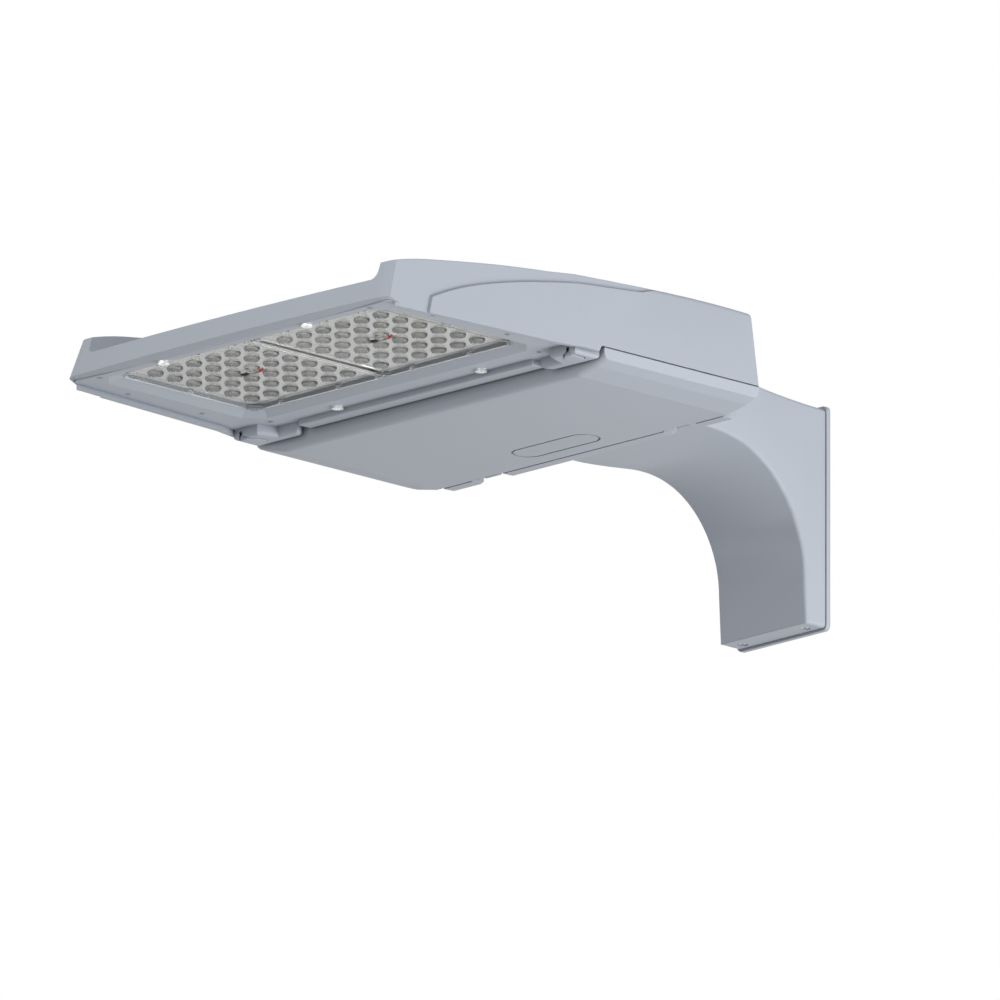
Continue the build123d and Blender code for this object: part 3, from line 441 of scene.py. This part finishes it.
def powder_group():
    """Fine orange peel, faint colour drift and painted shade in the creases of a powder coat."""
    group = bpy.data.node_groups.new("Powder Coat", "ShaderNodeTree")
    face = group.interface
    face.new_socket("Vector", in_out="INPUT", socket_type="NodeSocketVector")
    for name, value in (("Peel Scale", 900.0), ("Peel Depth", 0.03), ("Drift Scale", 9.0), ("Drift", 0.02)):
        socket = face.new_socket(name, in_out="INPUT", socket_type="NodeSocketFloat")
        socket.default_value = value
    colour = face.new_socket("Colour", in_out="INPUT", socket_type="NodeSocketColor")
    colour.default_value = (0.5, 0.5, 0.5, 1.0)
    face.new_socket("Colour", in_out="OUTPUT", socket_type="NodeSocketColor")
    face.new_socket("Roughness", in_out="OUTPUT", socket_type="NodeSocketFloat")
    face.new_socket("Normal", in_out="OUTPUT", socket_type="NodeSocketVector")
    nodes, links = group.nodes, group.links
    start = nodes.new("NodeGroupInput")
    end = nodes.new("NodeGroupOutput")
    peel = nodes.new("ShaderNodeTexNoise")
    peel.inputs["Detail"].default_value = 2.0
    links.new(start.outputs["Vector"], peel.inputs["Vector"])
    links.new(start.outputs["Peel Scale"], peel.inputs["Scale"])
    bump = nodes.new("ShaderNodeBump")
    bump.inputs["Distance"].default_value = 0.0002
    links.new(start.outputs["Peel Depth"], bump.inputs["Strength"])
    links.new(peel.outputs["Fac"], bump.inputs["Height"])
    round_edges = nodes.new("ShaderNodeBevel")
    round_edges.samples = 6
    round_edges.inputs["Radius"].default_value = 0.0011
    links.new(round_edges.outputs["Normal"], bump.inputs["Normal"])
    links.new(bump.outputs["Normal"], end.inputs["Normal"])
    drift = nodes.new("ShaderNodeTexNoise")
    drift.inputs["Detail"].default_value = 4.0
    links.new(start.outputs["Vector"], drift.inputs["Vector"])
    links.new(start.outputs["Drift Scale"], drift.inputs["Scale"])
    centre = nodes.new("ShaderNodeMath")
    centre.operation = "SUBTRACT"
    centre.inputs[1].default_value = 0.5
    links.new(drift.outputs["Fac"], centre.inputs[0])
    amount = nodes.new("ShaderNodeMath")
    amount.operation = "MULTIPLY_ADD"
    amount.inputs[2].default_value = 1.0
    links.new(centre.outputs["Value"], amount.inputs[0])
    links.new(start.outputs["Drift"], amount.inputs[1])
    tint = nodes.new("ShaderNodeVectorMath")
    tint.operation = "SCALE"
    links.new(start.outputs["Colour"], tint.inputs[0])
    links.new(amount.outputs["Value"], tint.inputs["Scale"])
    # Painted shade: ambient occlusion darkens the coat's colour in creases, seams and recesses
    crease = nodes.new("ShaderNodeAmbientOcclusion")
    crease.samples = 8
    crease.inputs["Distance"].default_value = 0.007
    shade = nodes.new("ShaderNodeMapRange")
    shade.inputs["From Min"].default_value = 0.35
    shade.inputs["To Min"].default_value = 0.62
    links.new(crease.outputs["AO"], shade.inputs["Value"])
    crease_shaded_colour = nodes.new("ShaderNodeVectorMath")
    crease_shaded_colour.operation = "SCALE"
    links.new(tint.outputs["Vector"], crease_shaded_colour.inputs[0])
    links.new(shade.outputs["Result"], crease_shaded_colour.inputs["Scale"])
    links.new(crease_shaded_colour.outputs["Vector"], end.inputs["Colour"])
    rough = nodes.new("ShaderNodeMapRange")
    rough.inputs["To Min"].default_value = 0.46
    rough.inputs["To Max"].default_value = 0.56
    links.new(drift.outputs["Fac"], rough.inputs["Value"])
    links.new(rough.outputs["Result"], end.inputs["Roughness"])
    return group


def paint_material(powder):
    """Silver grey powder coat."""
    material, nodes, links, shader = new_material("silver_powder_coat")
    group = add_group(nodes, powder, peel_scale=1400.0, peel_depth=0.05, drift_scale=7.0, drift=0.05)
    group.inputs["Colour"].default_value = (*colours().paint, 1.0)
    object_coordinates(nodes, links, group.inputs["Vector"])
    links.new(group.outputs["Colour"], shader.inputs["Base Color"])
    links.new(group.outputs["Roughness"], shader.inputs["Roughness"])
    links.new(group.outputs["Normal"], shader.inputs["Normal"])
    shader.inputs["Specular IOR Level"].default_value = 0.2
    return material


def plain_material(name, colour, roughness, metallic):
    """A moulded or turned finish with a fine grain."""
    material, nodes, links, shader = new_material(name)
    noise = nodes.new("ShaderNodeTexNoise")
    noise.inputs["Scale"].default_value = GRAIN_SCALE
    noise.inputs["Detail"].default_value = 3.0
    object_coordinates(nodes, links, noise.inputs["Vector"])
    ramp = nodes.new("ShaderNodeMix")
    ramp.data_type = "RGBA"
    ramp.inputs["A"].default_value = (*[c * GRAIN_DARK for c in colour], 1.0)
    ramp.inputs["B"].default_value = (*[min(c * GRAIN_LIGHT, 1.0) for c in colour], 1.0)
    links.new(noise.outputs["Fac"], ramp.inputs["Factor"])
    links.new(ramp.outputs["Result"], shader.inputs["Base Color"])
    bump = nodes.new("ShaderNodeBump")
    bump.inputs["Strength"].default_value = GRAIN_DEPTH
    bump.inputs["Distance"].default_value = 0.0001
    links.new(noise.outputs["Fac"], bump.inputs["Height"])
    links.new(bump.outputs["Normal"], shader.inputs["Normal"])
    shader.inputs["Roughness"].default_value = roughness
    shader.inputs["Metallic"].default_value = metallic
    return material


def lens_material():
    """Clear moulded acrylic that lets the lamps' light through to the boards."""
    material, nodes, links, shader = new_material("clear_acrylic")
    shader.inputs["Base Color"].default_value = (0.96, 0.97, 0.97, 1.0)
    shader.inputs["Transmission Weight"].default_value = 1.0
    shader.inputs["IOR"].default_value = 1.28
    shader.inputs["Roughness"].default_value = 0.02
    path = nodes.new("ShaderNodeLightPath")
    light = nodes.new("ShaderNodeMath")
    light.operation = "MAXIMUM"
    links.new(path.outputs["Is Shadow Ray"], light.inputs[0])
    links.new(path.outputs["Is Diffuse Ray"], light.inputs[1])
    through = nodes.new("ShaderNodeBsdfTransparent")
    mix = nodes.new("ShaderNodeMixShader")
    links.new(light.outputs["Value"], mix.inputs["Fac"])
    links.new(shader.outputs["BSDF"], mix.inputs[1])
    links.new(through.outputs["BSDF"], mix.inputs[2])
    links.new(mix.outputs["Shader"], nodes["Material Output"].inputs["Surface"])
    return material


class LUMINAIRE_OT_stage(bpy.types.Operator):
    """Camera at the photograph's angle, floor, world and lamps"""

    bl_idname = "luminaire.stage"
    bl_label = "Stage"

    def execute(self, context):
        back = Vector((sin(PHOTO_AZIMUTH) * cos(PHOTO_ELEVATION),
                       -cos(PHOTO_AZIMUTH) * cos(PHOTO_ELEVATION), sin(PHOTO_ELEVATION)))
        right = Vector((cos(PHOTO_AZIMUTH), sin(PHOTO_AZIMUTH), 0.0))
        up = back.cross(right)
        centre = PHOTO_PIXELS / 2
        place = (right * ((centre - ORIGIN_PIXEL[0]) / PIXELS_PER_METRE)
                 + up * ((ORIGIN_PIXEL[1] - centre) / PIXELS_PER_METRE) + back * CAMERA_DISTANCE)
        bpy.ops.object.camera_add(location=place)
        camera = context.object
        camera.name = "camera"
        camera.data.type = "ORTHO"
        camera.data.ortho_scale = PHOTO_PIXELS / PIXELS_PER_METRE
        camera.data.clip_start = 0.01
        camera.data.clip_end = 50.0
        camera.rotation_mode = "QUATERNION"
        camera.rotation_quaternion = (-back).to_track_quat("-Z", "Y")
        context.scene.camera = camera
        self.floor(context)
        self.world(context)
        for name, place, side, power in LAMPS:
            bpy.ops.object.light_add(type="AREA", location=place)
            lamp = context.object
            lamp.name = name
            lamp.data.size = side
            lamp.data.energy = power
            lamp.rotation_mode = "QUATERNION"
            lamp.rotation_quaternion = (Vector(LAMP_AIM) - Vector(place)).to_track_quat("-Z", "Y")
        context.scene.view_settings.view_transform = "Standard"
        return {"FINISHED"}

    def floor(self, context):
        """A wide pale floor far below the head."""
        level = cad_low.z - sizes().floor_drop
        bpy.ops.mesh.primitive_plane_add(size=FLOOR_SIDE, location=(0.0, -0.3, level))
        ground = context.object
        ground.name = "floor"
        settle(ground)
        material, nodes, links, shader = new_material("pale_floor")
        shader.inputs["Base Color"].default_value = (*colours().floor, 1.0)
        shader.inputs["Roughness"].default_value = 0.9
        white = nodes.new("ShaderNodeEmission")
        white.inputs["Color"].default_value = WHITE
        white.inputs["Strength"].default_value = 1.0
        mix = nodes.new("ShaderNodeMixShader")
        links.new(seen_directly(nodes, links), mix.inputs["Fac"])
        links.new(shader.outputs["BSDF"], mix.inputs[1])
        links.new(white.outputs["Emission"], mix.inputs[2])
        links.new(mix.outputs["Shader"], nodes["Material Output"].inputs["Surface"])
        dress(ground, material)

    def world(self, context):
        """Soft light all round, white where the camera looks past the object."""
        world = bpy.data.worlds.new("studio")
        context.scene.world = world
        world.use_nodes = True
        nodes, links = world.node_tree.nodes, world.node_tree.links
        soft = nodes["Background"]
        soft.inputs["Color"].default_value = WHITE
        soft.inputs["Strength"].default_value = SOFT_LIGHT
        white = nodes.new("ShaderNodeBackground")
        white.inputs["Color"].default_value = WHITE
        white.inputs["Strength"].default_value = 1.0
        mix = nodes.new("ShaderNodeMixShader")
        links.new(seen_directly(nodes, links), mix.inputs["Fac"])
        links.new(soft.outputs["Background"], mix.inputs[1])
        links.new(white.outputs["Background"], mix.inputs[2])
        links.new(mix.outputs["Shader"], nodes["World Output"].inputs["Surface"])


class LUMINAIRE_OT_castings(bpy.types.Operator):
    """Painted castings: head, LED frame, door, arm, plate and latches"""

    bl_idname = "luminaire.castings"
    bl_label = "Castings"

    def execute(self, context):
        paint = paint_material(powder_group())
        for node, body, fold in CASTINGS:
            skin_of(node, body, fold, paint)
        return {"FINISHED"}


class LUMINAIRE_OT_optics(bpy.types.Operator):
    """Clear lens plates with a rim, screw bosses and a two-lobed dome over each LED"""

    bl_idname = "luminaire.optics"
    bl_label = "Optics"

    def execute(self, context):
        clear = lens_material()
        for hand, side in HANDS.items():
            plate = self.slab(hand, side)
            for part, operation in ((self.rim(side), "UNION"), (self.bosses(side), "UNION"),
                                    (self.lead_hole(side), "DIFFERENCE")):
                combine(plate, part, operation)
            plate = join([plate, self.domes(side)], "lens_plate_" + hand + "_clear")
            recalculate(plate)
            smooth(plate, LENS_FOLD)
            dress(plate, clear)
            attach(plate, "head")
            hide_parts("lens_plate_" + hand)
        return {"FINISHED"}

    def slab(self, hand, side):
        """The flat plate between the gasket and the board."""
        size = sizes()
        low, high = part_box("lens_plate_" + hand)
        flange = block((low.x, low.y, size.flange_z), (high.x, high.y, high.z))
        bevel_edges(flange, width=FLANGE_CORNER, segments=4, test=upright)
        inner, outer = sorted((side * size.divider_half, side * size.rim_half_x))
        body = block((inner, size.rim_front_y, size.plate_bottom_z),
                     (outer, size.rim_rear_y, size.flange_z + SLAB_ROOT))
        combine(body, flange, "UNION")
        return body

    def rim(self, side):
        """A raised rim that follows the window's edge."""
        size = sizes()
        inner, outer = sorted((side * size.divider_half, side * size.rim_half_x))
        bottom, top = size.rim_bottom_z, size.plate_bottom_z + RIM_ROOT
        body = block((inner, size.rim_front_y, bottom), (outer, size.rim_rear_y, top))
        select_faces(body, faces_down)
        bpy.ops.mesh.inset(thickness=size.rim_width, depth=0.0)
        rise = top - bottom - RIM_FLOOR
        bpy.ops.mesh.extrude_region_move(TRANSFORM_OT_translate={"value": (0.0, 0.0, rise)})
        leave_edit()
        return body

    def bosses(self, side):
        """Small round bosses with a screw dimple along the rim."""
        size = sizes()
        front = [x for x in FRONT_BOSSES if x * side > 0]
        rear = [x for x in REAR_BOSSES if x * side > 0]
        middle_y = (size.rim_front_y + size.rim_rear_y) / 2
        ends = (side * (size.rim_half_x - BOSS_INSET), side * (size.divider_half + BOSS_INSET))
        places = [(x, size.rim_front_y + BOSS_INSET) for x in (*front, *ends)]
        places += [(x, size.rim_rear_y - BOSS_INSET) for x in (*rear, *ends)]
        places += [(ends[0], middle_y)]
        bottom = size.rim_bottom_z - BOSS_STANDOUT
        top = size.plate_bottom_z + BOSS_ROOT
        bpy.ops.mesh.primitive_cylinder_add(vertices=28, radius=size.boss_radius, depth=top - bottom,
                                            location=(0.0, 0.0, (top + bottom) / 2))
        boss = bpy.context.object
        settle(boss)
        select_faces(boss, faces_down)
        bpy.ops.mesh.inset(thickness=size.boss_radius * DIMPLE_MARGIN, depth=0.0)
        bpy.ops.mesh.extrude_region_move(TRANSFORM_OT_translate={"value": (0.0, 0.0, DIMPLE_DEPTH)})
        leave_edit()
        return spread(boss, [(x, y, 0.0) for x, y in places], "lens_bosses")

    def domes(self, side):
        """Domes with two lobes, one for each LED."""
        size = sizes()
        height = size.plate_bottom_z - size.dome_tip_z
        bpy.ops.mesh.primitive_uv_sphere_add(segments=32, ring_count=18, radius=size.lens_width / 2)
        dome = bpy.context.object
        dome.scale = (1.0, 1.0, height / (size.lens_width / 2))
        settle(dome)
        pick(dome)
        bpy.ops.object.mode_set(mode="EDIT")
        bpy.ops.mesh.select_all(action="SELECT")
        bpy.ops.mesh.bisect(plane_co=(0.0, 0.0, DOME_ROOT), plane_no=(0.0, 0.0, 1.0),
                            clear_outer=True, use_fill=True)
        leave_edit()
        pick_vertices(dome, lambda co: abs(co.x) < VALLEY_HALF and co.z < -VALLEY_FROM * height)
        bpy.ops.transform.translate(value=(0.0, 0.0, height * VALLEY_LIFT), use_proportional_edit=True,
                                    proportional_edit_falloff="SMOOTH", proportional_size=VALLEY_REACH)
        leave_edit()
        places = lens_places(side)
        return spread(dome, [(x, y, size.plate_bottom_z) for x, y in places], "lens_domes")

    def lead_hole(self, side):
        """The slot that the leads pass through."""
        size = sizes()
        half = Vector(SLOT_HALF)
        middle = Vector((side * size.module_x, size.module_y, size.plate_bottom_z))
        slot = block(tuple(middle - half), tuple(middle + half))
        bevel_edges(slot, width=SLOT_CORNER, segments=6, test=upright)
        return slot


class LUMINAIRE_OT_fittings(bpy.types.Operator):
    """Boards, chips, seals, screws, wires and the gear in the driver bay"""

    bl_idname = "luminaire.fittings"
    bl_label = "Fittings"

    def execute(self, context):
        nodes = frame["nodes"]
        finishes = {
            "solder_mask": (tuple(colours().board), 0.6, 0.0, ("led_board_left", "led_board_right")),
            "phosphor": ((0.80, 0.74, 0.48), 0.5, 0.0, ("led_chips_left", "led_chips_right")),
            "silicone": (tuple(colours().rubber), 0.7, 0.0,
                         ("door_gasket", "lens_gasket", "arm_gasket", "wire_bush")),
            "dark_plated_steel": ((0.34, 0.36, 0.39), 0.45, 0.5, ("frame_screws",)),
            "polished_steel": ((0.97, 0.97, 0.97), 0.4, 1.0, ("frame_button_screws",)),
            "zinc_plate": ((0.55, 0.56, 0.57), 0.35, 0.9,
                           ("hinge_pin_left", "hinge_pin_right", "arm_bolts", "arm_nuts", "driver_screws",
                            "arm_set_screws")),
            "nylon": ((0.78, 0.78, 0.75), 0.5, 0.0, ("lead_connectors", "terminal_block")),
            "red_insulation": ((0.62, 0.03, 0.03), 0.4, 0.0, ("red_leads",)),
            "black_insulation": ((0.02, 0.02, 0.02), 0.4, 0.0, ("black_leads",)),
            "driver_can": ((0.75, 0.75, 0.73), 0.4, 0.0, ("led_driver",)),
            "potting": ((0.05, 0.05, 0.055), 0.35, 0.0, ("surge_protector",)),
        }
        for name, (colour, roughness, metallic, members) in finishes.items():
            material = plain_material(name, colour, roughness, metallic)
            for member in members:
                dress(nodes[member], material)
        for colour, start, end in (("red", LEAD_START, LEAD_END), ("black", -LEAD_END, -LEAD_START)):
            material = bpy.data.materials[colour + "_insulation"]
            for hand, side in HANDS.items():
                tail = self.lead_tail(side, start, end)
                tail.name = colour + "_lead_tail_" + hand
                dress(tail, material)
                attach(tail, "head")
        return {"FINISHED"}

    def lead_tail(self, side, start, end):
        """The loop of a lead that shows in the lens plate's slot."""
        size = sizes()
        middle = (start + end) / 2
        low, high = size.plate_bottom_z - LEAD_DROP, size.plate_bottom_z + LEAD_RISE
        bpy.ops.curve.primitive_nurbs_path_add()
        curve = bpy.context.object
        path = ((start, high), (start + LEAD_BEND, low), (middle, low), (end - LEAD_BEND, low), (end, high))
        for point, (x, z) in zip(curve.data.splines[0].points, path):
            point.co = (side * size.module_x + x, size.module_y, z, 1.0)
        curve.data.bevel_depth = LEAD_RADIUS
        curve.data.bevel_resolution = 4
        curve.data.use_fill_caps = True
        pick(curve)
        bpy.ops.object.convert(target="MESH")
        tail = bpy.context.object
        settle(tail)
        recalculate(tail)
        smooth(tail)
        return tail


class LUMINAIRE_PT_panel(bpy.types.Panel):
    """Buttons that make the luminaire's pieces"""

    bl_label = "Area Luminaire"
    bl_idname = "LUMINAIRE_PT_panel"
    bl_space_type = "VIEW_3D"
    bl_region_type = "UI"
    bl_category = "Luminaire"

    def draw(self, context):
        for operator in OPERATORS:
            self.layout.operator(operator.bl_idname)
        for name in LuminaireSizes.__annotations__:
            self.layout.prop(context.scene.luminaire_sizes, name)
        for name in LuminaireColours.__annotations__:
            self.layout.prop(context.scene.luminaire_colours, name)


OPERATORS = (LUMINAIRE_OT_stage, LUMINAIRE_OT_castings, LUMINAIRE_OT_optics, LUMINAIRE_OT_fittings)
CLASSES = (LuminaireSizes, LuminaireColours, *OPERATORS, LUMINAIRE_PT_panel)


def register():
    """Register the classes and the scene's settings."""
    for cls in CLASSES:
        bpy.utils.register_class(cls)
    bpy.types.Scene.luminaire_sizes = bpy.props.PointerProperty(type=LuminaireSizes)
    bpy.types.Scene.luminaire_colours = bpy.props.PointerProperty(type=LuminaireColours)


def unregister():
    """Undo register."""
    del bpy.types.Scene.luminaire_colours
    del bpy.types.Scene.luminaire_sizes
    for cls in reversed(CLASSES):
        bpy.utils.unregister_class(cls)


def main():
    """Make the whole scene."""
    register()
    bpy.ops.luminaire.stage()
    bpy.ops.luminaire.castings()
    bpy.ops.luminaire.optics()
    bpy.ops.luminaire.fittings()


if __name__ == "__main__":
    main()
